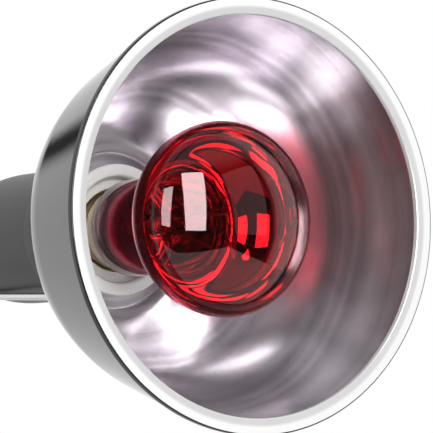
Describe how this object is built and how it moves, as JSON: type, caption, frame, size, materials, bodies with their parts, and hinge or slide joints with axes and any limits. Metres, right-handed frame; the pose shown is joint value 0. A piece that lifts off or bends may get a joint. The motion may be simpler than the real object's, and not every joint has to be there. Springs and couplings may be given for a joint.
{
  "type": "reptile heat lamp",
  "caption": "Hanging heat lamp: a lacquered reflector dome on a slim round holder, with a ruby infrared reflector bulb in a porcelain lampholder and a swinging wire bail.",
  "frame": {"origin": "centre of the rim, on the plane that the rolled rim lies on", "axes": "+Z along the lamp's axis from the rim to the bail, so the beam points to -Z; +X along the pivots of the bail, which stands upright at rest, as pictured"},
  "size_m": [0.14, 0.14, 0.1893],
  "materials": {
    "polished_aluminium": "spun and polished inside, lacquered black outside",
    "black_lacquer": "gloss black lacquer",
    "satin_lacquer": "satin black lacquer",
    "bright_steel": "bright drawn and zinc plated",
    "brass": "pressed brass",
    "porcelain": "glazed white porcelain",
    "black_nylon": "moulded, slightly satin",
    "black_rubber": "moulded",
    "ruby_glass": "smooth ruby glass, mirrored inside its back",
    "cap_aluminium": "rolled sheet",
    "black_glass": "glossy black glass",
    "solder": "dull solder",
    "clear_glass": "clear",
    "tungsten": "dull grey drawn wire"
  },
  "bodies": {
    "lamp": {"reflector_dome": "polished_aluminium", "holder_collar": "satin_lacquer", "holder_housing": "satin_lacquer", "housing_screws": "bright_steel", "lampholder_body": "porcelain", "screw_shell": "brass", "centre_contact": "brass", "side_contact": "brass", "live_terminal": "brass", "neutral_terminal": "brass", "terminal_screws": "bright_steel", "lampholder_bridge": "bright_steel", "lampholder_screws": "bright_steel", "gland_body": "black_nylon", "gland_seal": "black_rubber", "gland_cap": "black_nylon", "gland_locknut": "black_nylon"},
    "bail": {"bail": "bright_steel"},
    "bulb_slider": {"bulb_contact": "solder"},
    "bulb": {"bulb_envelope": "ruby_glass", "bulb_cap": "cap_aluminium", "bulb_insulator": "black_glass", "bulb_stem": "clear_glass", "lead_wires": "bright_steel", "filament_supports": "tungsten", "filament": "tungsten"}
  },
  "joints": [
    {"name": "bail_swing", "type": "hinge", "parent": "lamp", "child": "bail", "pos_m": [0, 0, 0.097], "axis": [1, 0, 0], "range_deg": [-126, 126]},
    {"name": "bulb_advance", "type": "slide", "parent": "lamp", "child": "bulb_slider", "axis": [0, 0, -1], "range_m": [0, 0.01815]},
    {"name": "bulb_turn", "type": "hinge", "parent": "bulb_slider", "child": "bulb", "pos_m": [0, 0, 0.09], "axis": [0, 0, -1], "range_deg": [0, 1800]}
  ],
  "couplings": [
    {"joint": "bulb_advance", "follows": "bulb_turn", "m_per_rad": 0.00057751}
  ]
}
